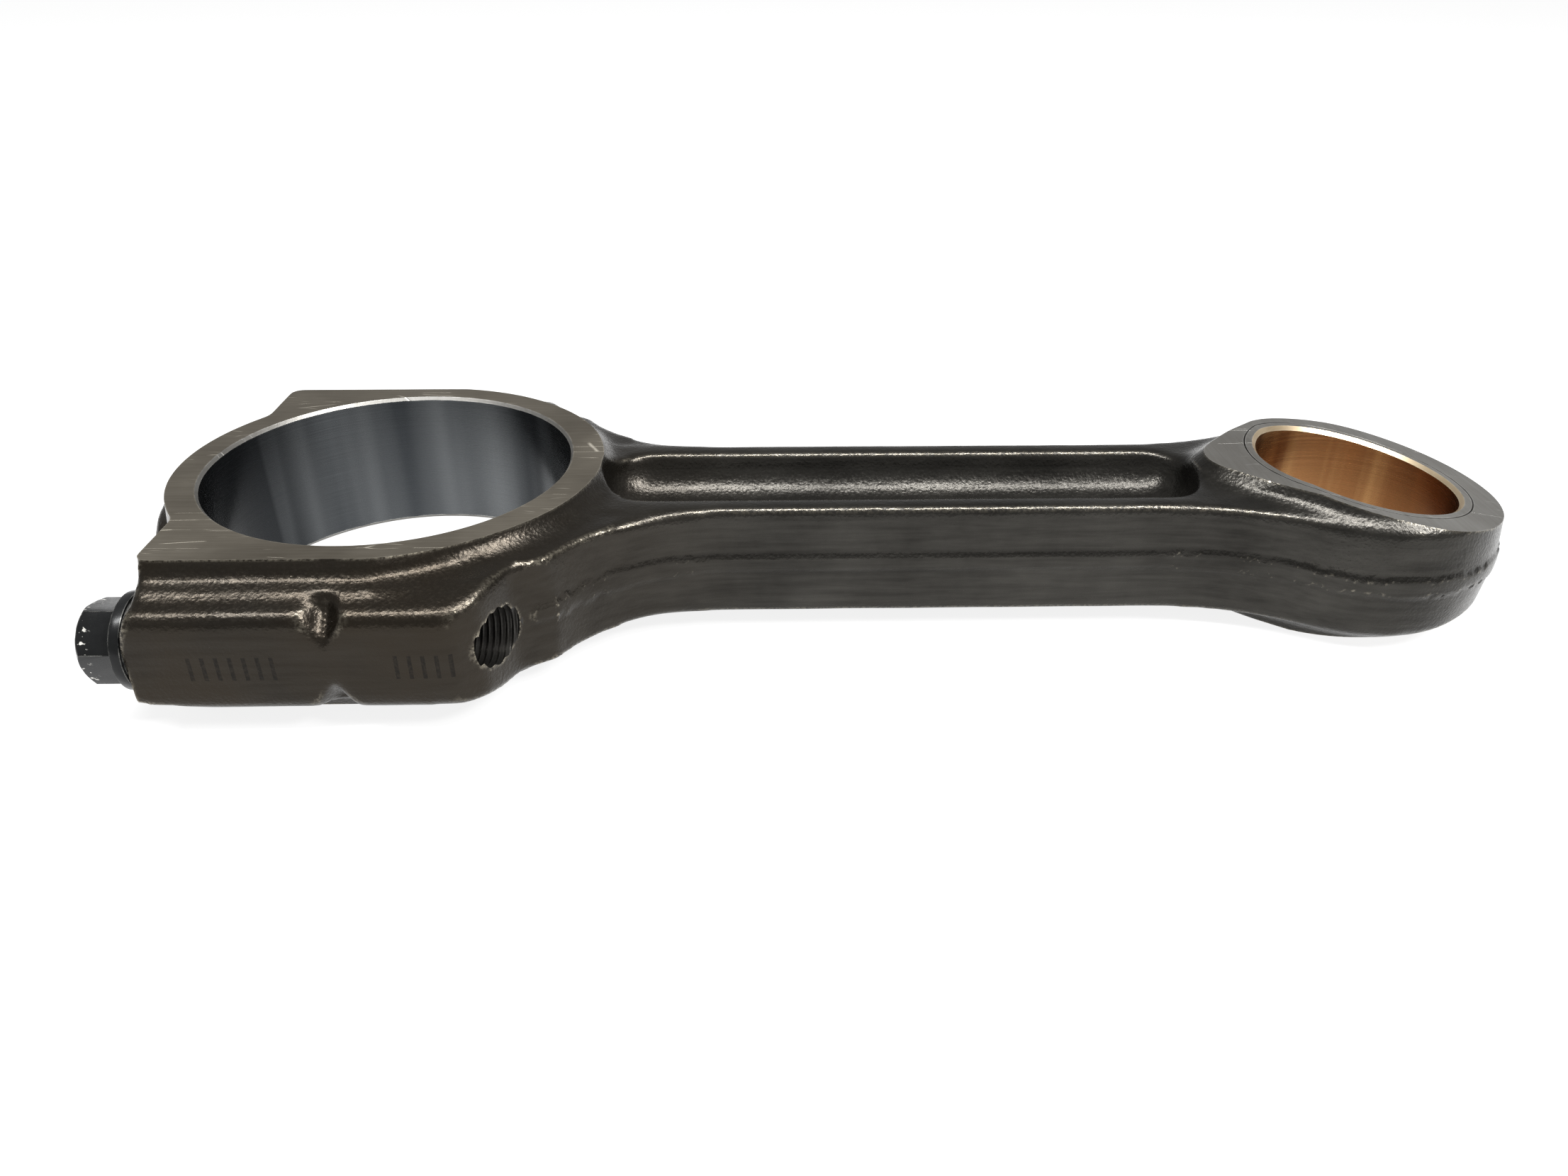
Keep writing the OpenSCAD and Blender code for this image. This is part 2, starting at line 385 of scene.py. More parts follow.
def addBump(tree, shader, height, distance):
    bump = addNode(tree, "ShaderNodeBump", values={"Distance": distance, "Strength": 1.0},
                   links={"Height": height})
    tree.links.new(bump.outputs["Normal"], shader.inputs["Normal"])


def forgedSkinFinish():
    look = {
        "dark": (0.018, 0.0167, 0.0146),
        "pale": (0.047, 0.0445, 0.0395),
        "oiled": (0.024, 0.0182, 0.012),
        # pale colour for crests and edges: partly painted highlight, partly wear
        "wornAndHighlight": (0.52, 0.47, 0.37),
        # painted shade for the line above the seam, and also the ink of the match marks
        "seamShadeAndInk": (0.009, 0.008, 0.007),
        "oilEnds": (0.02, 0.085),  # oil dries out between these places along the rod
        "rough": (0.2, 0.33),
        "bump": 0.0001,
        "tickPitch": 0.0026,
        "tickHalf": 0.0004,
        "tickRows": ((-0.0275, -0.0095), (0.0125, 0.0245)),
        "tickZ": (-0.001, 0.0026),  # middle and half height of the rows
        "tickSide": -0.055,
        "seamZ": 0.0023,
        "seamHalf": 0.0005,
        "seamStart": 0.045,
    }
    material, tree, shader = newFinish("forgedSkin", 0.85, 0.45)
    grain = useGroup(tree, forgedGrain)
    wearAndHighlight = useGroup(tree, edgeWearAndHighlight, {"Radius": 0.0011, "Breakup": 1500.0})["Mask"]
    along, side, height = (placeAlong(tree, axis) for axis in "XYZ")
    mixed = maths(tree, "ADD", product(tree, grain["Blotch"], 0.55), product(tree, grain["Streak"], 0.45))
    base = blendColours(tree, remap(tree, mixed, 0.36, 0.66), look["dark"], look["pale"])
    oil = remap(tree, along, look["oilEnds"][1], look["oilEnds"][0])
    oil = product(tree, oil, remap(tree, grain["Blotch"], 0.3, 0.6, 0.45, 0.85), clamp=True)
    base = blendColours(tree, oil, base, look["oiled"])
    # painted shade: a dark line is painted in the corner above the trimmed seam
    wobble = product(tree, maths(tree, "SUBTRACT", grain["Blotch"], 0.5), 0.0012)
    away = maths(tree, "SUBTRACT", maths(tree, "ADD", height, wobble), look["seamZ"])
    away = maths(tree, "ABSOLUTE", away)
    seamShadeAndInk = product(tree, remap(tree, away, 2 * look["seamHalf"], 0.4 * look["seamHalf"]),
                   remap(tree, along, look["seamStart"], look["seamStart"] + 0.02, 0.0, 0.75))
    seamShadeAndInk = product(tree, seamShadeAndInk, remap(tree, grain["Blotch"], 0.35, 0.6, 0.25, 0.7))
    base = blendColours(tree, seamShadeAndInk, base, look["seamShadeAndInk"])
    # rows of etched match marks on both sides of the joint
    ticks = maths(tree, "PINGPONG", along, look["tickPitch"] / 2)
    ticks = maths(tree, "LESS_THAN", ticks, look["tickHalf"])
    rows = 0.0
    for first, last in look["tickRows"]:
        rows = maths(tree, "ADD", within(tree, along, (first + last) / 2, (last - first) / 2), rows)
    ticks = product(tree, product(tree, ticks, rows), within(tree, height, *look["tickZ"]))
    ticks = product(tree, ticks, maths(tree, "LESS_THAN", side, look["tickSide"]))
    ticks = product(tree, ticks, remap(tree, grain["Fine"], 0.3, 0.6, 0.3, 0.8))
    base = blendColours(tree, ticks, base, look["seamShadeAndInk"])
    # painted highlight and wear: crests and edges are lightened toward a pale colour, partly standing in
    # for highlights and partly for rubbing, but not along the break
    crests = addNode(tree, "ShaderNodeNewGeometry").outputs["Pointiness"]
    crests = product(tree, remap(tree, crests, 0.515, 0.57), remap(tree, grain["Fine"], 0.4, 0.62))
    crests = product(tree, crests, remap(tree, maths(tree, "ABSOLUTE", along), 0.0015, 0.003))
    shine = maths(tree, "MAXIMUM", crests, product(tree, wearAndHighlight, 0.3), clamp=True)
    base = blendColours(tree, product(tree, shine, 0.85), base, look["wornAndHighlight"])
    rough = remap(tree, grain["Fine"], 0.3, 0.7, look["rough"][1], look["rough"][0])
    rough = maths(tree, "SUBTRACT", rough, product(tree, shine, 0.1))
    addPaint(tree, shader, base, rough)
    addBump(tree, shader, grain["Height"], look["bump"])
    return material


def milledFinish(name, look):
    material, tree, shader = newFinish(name, look["metal"], 0.4)
    marks = useGroup(tree, toolMarks, look["marks"])
    wearAndHighlight = useGroup(tree, edgeWearAndHighlight, {"Radius": 0.0005, "Breakup": 500.0})["Mask"]
    tone = maths(tree, "ADD", product(tree, marks["Cloud"], 0.6), product(tree, marks["Lines"], 0.4))
    base = blendColours(tree, remap(tree, tone, 0.36, 0.64), look["dark"], look["pale"])
    # painted highlight and wear on the edges
    base = blendColours(tree, product(tree, wearAndHighlight, look["edge"]), base, look["bright"])
    base = blendColours(tree, product(tree, marks["Scratch"], look["scratch"]), base, look["bright"])
    addPaint(tree, shader, base, remap(tree, marks["Cloud"], 0.3, 0.7, *look["rough"]))
    height = maths(tree, "SUBTRACT", marks["Lines"], product(tree, marks["Scratch"], 2.0))
    addBump(tree, shader, height, look["bump"])
    return material


def boredFinish(name, look):
    # a hone or boring bar leaves marks round the bore, so that gloss is drawn out along the axis
    material, tree, shader = newFinish(name, look["metal"], look["rough"][0], look["drawn"])
    marks = useGroup(tree, toolMarks, look["marks"])
    tone = maths(tree, "ADD", product(tree, marks["Cloud"], 0.5), product(tree, marks["Lines"], 0.5))
    base = blendColours(tree, remap(tree, tone, 0.36, 0.64), look["dark"], look["pale"])
    # painted reflection and painted shade: soft bright upright bands stand in for reflections, and the
    # bore is darkened toward both ends along the rod
    reflectionBands = remap(tree, noise(tree, ownPlace(tree), 1, 3, 0.6, stretch=look["reflectionBands"]), 0.42, 0.62)
    away = maths(tree, "ABSOLUTE", maths(tree, "SUBTRACT", placeAlong(tree, "X"), look["middle"]))
    ends = remap(tree, away, look["reach"] * 0.35, look["reach"])
    base = blendColours(tree, product(tree, ends, look["endShadeAmount"]), base, look["endShade"])
    # painted reflection: the bright bands, kept off the darkened ends
    base = blendColours(tree, maths(tree, "SUBTRACT", reflectionBands, ends, clamp=True), base, look["reflectedBand"])
    wearAndHighlight = useGroup(tree, edgeWearAndHighlight, {"Radius": 0.0004, "Breakup": 350.0})["Mask"]
    # painted highlight and wear on the edges
    base = blendColours(tree, product(tree, wearAndHighlight, look["edge"]), base, look["bright"])
    addPaint(tree, shader, base, remap(tree, marks["Lines"], 0.3, 0.7, *look["rough"]))
    upright = addNode(tree, "ShaderNodeCombineXYZ", values={"Z": 1.0}).outputs[0]
    tree.links.new(upright, shader.inputs["Tangent"])
    addBump(tree, shader, marks["Lines"], look["bump"])
    return material


def brokenFinish():
    look = {
        "dark": (0.1, 0.098, 0.094),
        "pale": (0.34, 0.335, 0.32),
        "rough": (0.35, 0.65),
        "bump": 0.0003,
    }
    material, tree, shader = newFinish("brokenSteel", 0.8, 0.5)
    grain = useGroup(tree, forgedGrain)
    base = blendColours(tree, remap(tree, grain["Fine"], 0.35, 0.65), look["dark"], look["pale"])
    addPaint(tree, shader, base, remap(tree, grain["Streak"], 0.3, 0.7, *look["rough"]))
    addBump(tree, shader, grain["Height"], look["bump"])
    return material


def blackOxideFinish(name, look):
    material, tree, shader = newFinish(name, look["metal"], look["rough"][0])
    marks = useGroup(tree, toolMarks, {"Along": 500.0, "Across": 500.0, "Upright": 500.0})
    wearAndHighlight = useGroup(tree, edgeWearAndHighlight, {"Radius": 0.0003, "Breakup": 420.0})["Mask"]
    base = blendColours(tree, remap(tree, marks["Cloud"], 0.35, 0.65), look["dark"], look["pale"])
    # painted highlight and wear on the edges
    base = blendColours(tree, product(tree, wearAndHighlight, look["edge"]), base, look["bright"])
    # a spanner has nicked the outer end of the head
    nicks = remap(tree, noise(tree, ownPlace(tree), 1, 2, stretch=(700, 1500, 700)), 0.62, 0.66)
    outer = remap(tree, placeAlong(tree, "X"), look["nicks"], look["nicks"] - 0.0015)
    base = blendColours(tree, product(tree, nicks, outer, clamp=True), base, look["bright"])
    addPaint(tree, shader, base, remap(tree, marks["Lines"], 0.3, 0.7, *look["rough"]))
    addBump(tree, shader, marks["Lines"], look["bump"])
    return material


print("2 finishes")
forgedSkin = forgedSkinFinish()
milledFace = milledFinish("milledFace", {
    "metal": 0.75, "dark": (0.066, 0.056, 0.041), "pale": (0.112, 0.1, 0.08), "bright": (0.6, 0.56, 0.48),
    "marks": {"Along": 60.0, "Across": 1500.0, "Upright": 60.0}, "edge": 0.25, "scratch": 0.6,
    "rough": (0.42, 0.6), "bump": 0.00003})
groundFace = milledFinish("groundFace", {
    "metal": 0.85,
    "dark": (0.155, 0.147, 0.132), "pale": (0.225, 0.22, 0.207), "bright": (0.7, 0.69, 0.66),
    "marks": {"Along": 1300.0, "Across": 50.0, "Upright": 60.0}, "edge": 0.4, "scratch": 0.25,
    "rough": (0.36, 0.48), "bump": 0.00002})
honedBore = boredFinish("honedBore", {
    "metal": 0.95,
    "dark": (0.042, 0.046, 0.05), "pale": (0.052, 0.057, 0.062), "bright": (0.85, 0.84, 0.8),
    "marks": {"Along": 8.0, "Across": 8.0, "Upright": 2600.0}, "edge": 0.9,
    # the band colour is a painted reflection, the end colour painted shade
    "reflectedBand": (0.17, 0.178, 0.183), "reflectionBands": (30, 30, 1.2), "endShade": (0.012, 0.013, 0.014),
    "middle": 0.0, "reach": 0.04, "endShadeAmount": 0.8,
    "rough": (0.24, 0.3), "drawn": 0.92, "bump": 0.000002})
bronzeBore = boredFinish("bronzeBore", {
    "metal": 0.97, "dark": (0.27, 0.128, 0.05), "pale": (0.32, 0.155, 0.062), "bright": (0.95, 0.8, 0.5),
    "marks": {"Along": 14.0, "Across": 14.0, "Upright": 2200.0}, "edge": 0.5,
    # the band colour is a painted reflection, the end colour painted shade
    "reflectedBand": (0.56, 0.33, 0.135), "reflectionBands": (70, 70, 2), "endShade": (0.12, 0.045, 0.015),
    "middle": 0.221, "reach": 0.024, "endShadeAmount": 0.6,
    "rough": (0.24, 0.3), "drawn": 0.88, "bump": 0.000002})
brokenSteel = brokenFinish()
blackOxide = blackOxideFinish("blackOxide", {
    "metal": 0.35,
    "dark": (0.005, 0.0053, 0.0055), "pale": (0.012, 0.0125, 0.013), "bright": (0.6, 0.59, 0.55),
    "edge": 0.35, "nicks": -0.0448, "rough": (0.2, 0.32), "bump": 0.00001})
blackOxide.node_tree.nodes["Principled BSDF"].inputs["Specular IOR Level"].default_value = 0.3
tappedSteel = blackOxideFinish("tappedSteel", {
    "metal": 0.8, "dark": (0.02, 0.019, 0.018), "pale": (0.06, 0.056, 0.05), "bright": (0.4, 0.38, 0.34),
    "edge": 0.1, "nicks": -0.06, "rough": (0.25, 0.4), "bump": 0.00002})
bronzeEdge = milledFinish("bronzeEdge", {
    "metal": 0.9, "dark": (0.42, 0.32, 0.2), "pale": (0.6, 0.49, 0.33), "bright": (0.95, 0.88, 0.7),
    "marks": {"Along": 90.0, "Across": 90.0, "Upright": 900.0}, "edge": 0.4, "scratch": 0.2,
    "rough": (0.3, 0.4), "bump": 0.00001})


def coat(obj, material):
    obj.data.materials.clear()
    obj.data.materials.append(material)
    return obj


# the forging, drawn with a little stock where it is machined later
forging = {
    "voxel": 0.8,
    "softening": 8,
    "extraSoftening": 12,  # the shank's edges and the noses are rounder
    "rawFace": 19.5,  # half height of both ends before they were faced
    "ringRadius": 46.2,
    "ringDraft": 2.2,
    "flatY": 45.7,
    "flatLean": 0.25,  # how far the flat side leans out for each millimetre down
    "flatFillet": 3.2,
    "capShoulderX": 36.9,
    "coveCentre": 3.0,
    "coveInner": 44.0,
    "coveRadius": 7.0,
    "bossEndX": 39.3,
    "bossTopY": 47.2,
    "bossTopZ": 12.8,
    "bossSideZ": {1: 9.9, -1: 10.9},  # upper and lower edge
    "bossEdge": {  # y, z and lean of the flats that round each edge
        1: ((54.7, 10.3, 36), (56.0, 8.8, 66)),
        -1: ((54.6, 11.2, 38), (56.0, 9.8, 70)),
    },
    "bossRise": ((-26, -11.4), 0.18),
    "bossCorner": ((-38, 6), 0.32),
    "noseOuter": (23.5, 56.5),
    "noseCorner": (28.6, 52.0),
    "noseInner": (33.4, 41.5),
    "shoulderZ": 12.5,
    "shoulderEnd": 72.5,
    "shoulderBlend": 38.0,
    "shankStart": 52.0,
    "shankHalf": 17.8,
    "shankZ": 13.1,
    "shankDraft": 0.6,
    "eyeRadius": 31.2,
    "eyeDraft": 1.4,
    "eyeBlend": 63.0,
    "padNoseX": 195.2,
    "padSteps": ((12.4, 30.9, 17.5), (14.0, 28.6, 12.9), (19.5, 26.1, 7.3)),  # z, eye radius, nose radius
    "pocketStart": 47.5,
    "pocketEnd": 183.0,
    "pocketHalf": 12.0,
    "pocketRound": 11.8,
    "pocketCorner": 9.4,
    "pocketFillet": 9.2,
    "webHalf": 3.5,
    "crownEnd": 52.0,
    "notchReach": 6.0,
    "notchDepth": 4.8,
    "flashHalf": 2.0,
    "flashProud": 0.38,
    "flashStart": 36.0,  # the seam shows past this on the shank's side
    "flashEnd": -43.0,  # and past this at the crown
    "wave": 0.16,
    "waveSize": 14.0,
}


def ringStock():
    f = forging
    ring = giveDraft(addRound(f["ringRadius"], -f["rawFace"], f["rawFace"]), f["ringDraft"], (0, 0))
    shoulder = addBlock((-f["capShoulderX"], -60, -f["rawFace"]), (5, 60, f["rawFace"]))
    for stock in (ring, shoulder):
        for side in (-1, 1):
            for level in (-1, 1):
                trim(stock, (0, side * f["flatY"], level * faceZ), (0, side, level * f["flatLean"]))
    for side in (-1, 1):
        trim(shoulder, (-f["capShoulderX"] + 0.8, side * (f["flatY"] - 0.8), 0), (-1, side * 0.9, 0))
    # the shoulders stop short of the crown, which is the bare ring
    cut(shoulder, addRound(f["ringRadius"] - 8, -30, 30), addBlock((-60, -28.5, -30), (-20, 28.5, 30)))
    # a hollow curve runs from the ring's wall down to the shoulder, and widens toward the shank
    sweep = f["coveInner"] + f["coveRadius"]
    cove = addRound(sweep, f["shoulderZ"] - 1.5, f["shoulderZ"] + f["coveRadius"],
                    centre=(f["coveCentre"], 0))
    bpy.ops.object.select_all(action="DESELECT")
    bpy.ops.mesh.primitive_torus_add(major_radius=sweep, minor_radius=f["coveRadius"], major_segments=128,
                                     minor_segments=32,
                                     location=(f["coveCentre"], 0, f["shoulderZ"] + f["coveRadius"]))
    cut(cove, placed(bpy.context.active_object))
    trim(cove, (-15, 0, 0), (-1, 0, 0))
    fillet = addBlock((-f["capShoulderX"] + 0.6, -50.5, f["bossTopZ"] - 1),
                      (8, -44, f["bossTopZ"] + f["flatFillet"]))
    groove = (-46.7 - f["flatFillet"], f["bossTopZ"] + f["flatFillet"])
    cut(fillet, addRound(f["flatFillet"], -60, 20, centre=groove, axis="X"))
    fillets = [fillet, copyOf(fillet, mirrored="Y")]
    # the round boss on the crown
    pad = addRound(9.5, -f["crownEnd"], -43, centre=(0, 0), topRadius=14.5, axis="X")
    pad.scale = (1, 1.12, 0.88)
    placed(pad)
    upper = [cove, *fillets]
    return [ring, shoulder, *upper, *[copyOf(part, mirrored="Z") for part in upper], pad]


def bossStock():
    f = forging
    boss = addBlock((-f["bossEndX"], -bossY, -f["bossTopZ"]), (f["noseInner"][0] + 2, -38, f["bossTopZ"]))
    for level in (-1, 1):
        drop = f["bossTopZ"] - f["bossSideZ"][level]
        run = bossY - f["bossTopY"]
        trim(boss, (0, -f["bossTopY"], level * f["bossTopZ"]), (0, -drop, level * run))
        for y, z, angle in f["bossEdge"][level]:
            lean = math.radians(angle)
            trim(boss, (0, -y, level * z), (0, -math.sin(lean), level * math.cos(lean)))
    (x, z), rise = f["bossRise"]
    trim(boss, (x, 0, z), (-rise, 0, -1))
    (x, z), lean = f["bossCorner"]
    trim(boss, (x, 0, z), (-1, 0, lean))
    nose = (f["noseOuter"], f["noseCorner"], f["noseInner"])
    outer, corner, inner = (Vector((x, -y, 0)) for x, y in nose)
    for first, second in ((corner, inner), (outer, corner)):
        along = second - first
        trim(boss, first.lerp(second, 0.5), (along.y, -along.x, 0))
    # a notch over both outer edges marks the joint between rod and cap
    for level in (-1, 1):
        half = f["notchReach"]
        notch = addBlock((-half, -half, -12), (half, half, 12))
        notch.rotation_euler = (0, 0, math.radians(45))
        placed(notch)
        notch.rotation_euler = (level * math.radians(-45), 0, 0)
        edge = Vector((0, -bossY, level * f["bossSideZ"][level]))
        outward = Vector((0, -1, level)).normalized()
        reach = half * math.sqrt(2)
        notch.location = edge + outward * (reach - f["notchDepth"])
        cut(boss, placed(notch))
    return [boss, copyOf(boss, mirrored="Y")]


def shoulderStock():
    f = forging
    inner = f["noseInner"]
    stock = addBlock((-2, -inner[1], -f["shoulderZ"]), (f["shoulderEnd"], inner[1], f["shoulderZ"]))
    y = f["shankHalf"] + f["shoulderBlend"]
    for side in (-1, 1):
        scoop = addRound(f["shoulderBlend"], -30, 30, centre=(f["shoulderEnd"], side * y))
        giveDraft(scoop, -1.2, (f["shoulderEnd"], side * y))
        cut(stock, scoop)
        run = f["shoulderEnd"] - inner[0]
        fall = inner[1] - f["shankHalf"]
        trim(stock, (inner[0], side * inner[1], 0), (fall, side * run, 0))
    return [stock]


def shankStock():
    f = forging
    shank = addBlock((bigBoreRadius, -f["shankHalf"], -f["shankZ"]),
                     (smallEndX, f["shankHalf"], f["shankZ"]))
    giveDraft(shank, f["shankDraft"], ((bigBoreRadius + smallEndX) / 2, 0))
    eye = addRound(f["eyeRadius"], -f["shankZ"], f["shankZ"], centre=(smallEndX, 0))
    giveDraft(eye, f["eyeDraft"], (smallEndX, 0))
    blendY = f["shankHalf"] + f["eyeBlend"]
    reach = f["eyeRadius"] + f["eyeBlend"]
    blendX = smallEndX - math.sqrt(reach * reach - blendY * blendY)
    tangentX = smallEndX + (blendX - smallEndX) * f["eyeRadius"] / reach
    tangentY = blendY * f["eyeRadius"] / reach
    web = addBlock((blendX, -tangentY, -f["shankZ"]), (tangentX, tangentY, f["shankZ"]))
    for side in (-1, 1):
        scoop = addRound(f["eyeBlend"], -30, 30, centre=(blendX, side * blendY), sides=256)
        giveDraft(scoop, -f["shankDraft"], (blendX, side * blendY))
        cut(web, scoop)
    # the raised pad: a round one at the eye and a small one at the nose, wrapped together
    pads = []
    for foot, head in zip(f["padSteps"][:-1], f["padSteps"][1:]):
        cones = []
        for x, index in ((smallEndX, 1), (f["padNoseX"], 2)):
            cones.append(addRound(foot[index], foot[0], head[0], centre=(x, 0), topRadius=head[index]))
        pad = joined(cones, "pad")
        editMode(pad)
        selectAll()
        bpy.ops.mesh.convex_hull()
        objectMode()
        pads.extend([pad, copyOf(pad, mirrored="Z")])
    return [shank, eye, web, *pads]


def roundEdges(obj, test, radius, segments):
    # test says of an edge's two ends whether it is rounded
    editMode(obj, "EDGE")
    objectMode()
    for edge in obj.data.edges:
        edge.select = test(*[obj.data.vertices[i].co for i in edge.vertices])
    bpy.ops.object.mode_set(mode="EDIT")
    bpy.ops.mesh.bevel(offset=radius, segments=segments, clamp_overlap=False)
    objectMode()
    return obj


def pocketTool():
    # a block with a round end, round corners and a round bottom edge
    f = forging
    start, end, half, floor = f["pocketStart"], f["pocketEnd"], f["pocketHalf"], f["webHalf"]
    tool = addBlock((start, -half, floor), (end, half, faceZ + 6))

    def upright(first, second, x):
        atCorner = abs(first.x - x) + abs(second.x - x) < 0.01 and abs(abs(first.y) - half) < 0.01
        return atCorner and abs(first.z - second.z) > 1

    roundEdges(tool, lambda a, b: upright(a, b, start), f["pocketRound"], 12)
    roundEdges(tool, lambda a, b: upright(a, b, end), f["pocketCorner"], 12)
    roundEdges(tool, lambda a, b: max(a.z, b.z) < floor + 0.01, f["pocketFillet"], 8)
    return tool


def forgeBlank():
    f = forging
    pocket = pocketTool()
    blank = joined([*ringStock(), *bossStock(), *shoulderStock(), *shankStock()], "forging")
    useModifier(blank, "REMESH", mode="VOXEL", voxel_size=f["voxel"])
    cut(blank, copyOf(pocket, mirrored="Z"), pocket)
    useModifier(blank, "REMESH", mode="VOXEL", voxel_size=f["voxel"])
    useModifier(blank, "SMOOTH", factor=0.5, iterations=f["softening"])

    def onShank(place, normal):
        return place.x > f["shankStart"] and abs(place.z) < f["shankZ"] + 1.5

    def onNose(place, normal):
        return f["noseOuter"][0] - 5 < place.x < 50 and abs(place.y) > 40

    def onSeam(place, normal):
        alongRod = place.x > f["flashStart"] or place.x < f["flashEnd"]
        outside = math.hypot(place.x, place.y) > bigBoreRadius
        return abs(place.z) < f["flashHalf"] and abs(normal.z) < 0.4 and alongRod and outside

    for region in (onShank, onNose):
        selectWhere(blank, region)
        bpy.ops.mesh.vertices_smooth(factor=0.5, repeat=f["extraSoftening"])
        objectMode()
    # the seam where the dies met stands proud after the flash is trimmed off
    selectWhere(blank, onSeam)
    bpy.ops.transform.shrink_fatten(value=f["flashProud"])
    objectMode()
    clouds = bpy.data.textures.new("dieWaves", "CLOUDS")
    clouds.noise_scale = f["waveSize"]
    useModifier(blank, "DISPLACE", texture=clouds, texture_coords="LOCAL", strength=f["wave"],
                mid_level=0.5)
    print("   blank", len(blank.data.polygons), "faces")
    return blank


print("3 forging")
body = coat(forgeBlank(), forgedSkin)


# threads: the bolts and the holes they go into share one pitch
thread = {
    "pitch": 1.25,
    "holeRadii": (5.75, 6.3),
    "boltRadii": (5.1, 5.66),
    "holeEnd": 44.0,
    "steps": 32,
}


def addThread(radii, low, high, y):
    # one tooth's outline is turned round the axis and carried on by its pitch
    pitch = thread["pitch"]
    bpy.ops.object.select_all(action="DESELECT")
    bpy.ops.mesh.primitive_grid_add(x_subdivisions=3, y_subdivisions=1, size=1)
    obj = bpy.context.active_object
    selectWhere(obj, lambda place, normal: place.y > 0)
    bpy.ops.mesh.delete(type="VERT")
    objectMode()
    outline = sorted(obj.data.vertices, key=lambda vertex: vertex.co.x)
    for vertex, (along, radius) in zip(outline, ((0, 0), (0.42, 1), (0.58, 1), (1, 0))):
        vertex.co = (low - 2 * pitch + along * pitch, radii[0] + radius * (radii[1] - radii[0]), 0)
    turns = math.ceil((high - low) / pitch) + 4
    useModifier(obj, "SCREW", axis="X", screw_offset=pitch, iterations=turns, steps=thread["steps"],
                render_steps=thread["steps"], use_merge_vertices=True, merge_threshold=0.001)
    trim(obj, (low, 0, 0), (-1, 0, 0))
    trim(obj, (high, 0, 0), (1, 0, 0))
    editMode(obj)
    selectAll()
    bpy.ops.mesh.remove_doubles(threshold=0.001)
    turnOutwards()
    objectMode()
    obj.location.y = y
    return placed(obj)


machining = {
    "boreChamfer": (0.6, 0.8),  # how far in and how far down
    "seatX": 38.0,
    "seatEdge": 0.3,
    "clearance": 6.2,
    "grainSize": 2.2,
    "grainHeight": 0.26,
    "sawSize": (50, 140),
    "sawSpacing": 0.9,
}


def tiltedBlock(level):
    block = addBlock((-70, -60, 0 if level > 0 else -40), (60, 60, 40 if level > 0 else 0))
    block.rotation_euler = (0, level * math.asin(wedgeNormal.x), 0)
    block.location = (smallEndX, 0, level * eyeZ)
    return placed(block)


def facingTools(material):
    # both faces of the small end: level toward the shank, then sloping in to the far end
    tools = []
    for level in (-1, 1):
        low, high = sorted((level * faceZ, level * 40))
        tools.append(coat(addBlock((100, -60, low), (300, 60, high)), material))
        tools.append(coat(tiltedBlock(level), material))
    return tools


def leadInTools(radius, width, material):
    # chamfers for a round hole in the small end: one for the level part of each face, one for the slope
    tools = []
    for level in (-1, 1):
        for slope, top in ((0, faceZ), (wedgeSlope, eyeZ)):
            low, high = sorted((level * -width, level * width))
            ends = (radius, radius + 2 * width) if level > 0 else (radius + 2 * width, radius)
            tool = coat(addRound(ends[0], low, high, topRadius=ends[1], sides=192), material)
            for vertex in tool.data.vertices:
                vertex.co.z += level * (top - slope * vertex.co.x)
                vertex.co.x += smallEndX
            tools.append(tool)
    return tools


def machineBlank():
    m = machining
    inset, down = m["boreChamfer"]
    for level in (-1, 1):
        low, high = sorted((level * faceZ, level * 40))
        cut(body, coat(addBlock((-60, -70, low), (62, 70, high)), milledFace))
    cut(body, *facingTools(groundFace))
    for side in (-1, 1):
        low, high = sorted((side * 37.5, side * 70))
        cut(body, coat(addBlock((-60, low, -30), (-m["seatX"], high, 30)), milledFace))
    cut(body, coat(addRound(bigBoreRadius, -30, 30, sides=256), honedBore))
    for level in (-1, 1):
        radii = (bigBoreRadius - 0.05, bigBoreRadius + inset)
        low, high = sorted((level * (faceZ - down), level * (faceZ + 0.05)))
        first, last = radii if level > 0 else radii[::-1]
        cut(body, coat(addRound(first, low, high, topRadius=last, sides=256), groundFace))
    cut(body, coat(addRound(bushRadius, -40, 40, centre=(smallEndX, 0), sides=192), groundFace))
    cut(body, *leadInTools(bushRadius, m["seatEdge"], tappedSteel))
    for side in (-1, 1):
        clearance = addRound(m["clearance"], -60, 0, centre=(side * boltY, 0), axis="X", sides=64)
        tapped = addThread(thread["holeRadii"], -1, thread["holeEnd"], side * boltY)
        cut(body, coat(clearance, tappedSteel), coat(tapped, tappedSteel))


def breakSaw():
    # the cap was broken off, so that both halves carry the same rough face
    m = machining
    high, wide = m["sawSize"]
    bpy.ops.object.select_all(action="DESELECT")
    bpy.ops.mesh.primitive_grid_add(x_subdivisions=int(high / m["sawSpacing"]),
                                    y_subdivisions=int(wide / m["sawSpacing"]),
                                    size=1, rotation=(0, math.pi / 2, 0))
    saw = bpy.context.active_object
    saw.scale = (high, wide, 1)
    placed(saw)
    grain = bpy.data.textures.new("breakGrain", "CLOUDS")
    grain.noise_scale = m["grainSize"]
    useModifier(saw, "DISPLACE", texture=grain, texture_coords="LOCAL", direction="X",
                strength=m["grainHeight"], mid_level=0.5)
    editMode(saw)
    selectAll()
    bpy.ops.mesh.extrude_region_move(TRANSFORM_OT_translate={"value": (-100, 0, 0)})
    turnOutwards()
    objectMode()
    return coat(saw, brokenSteel)


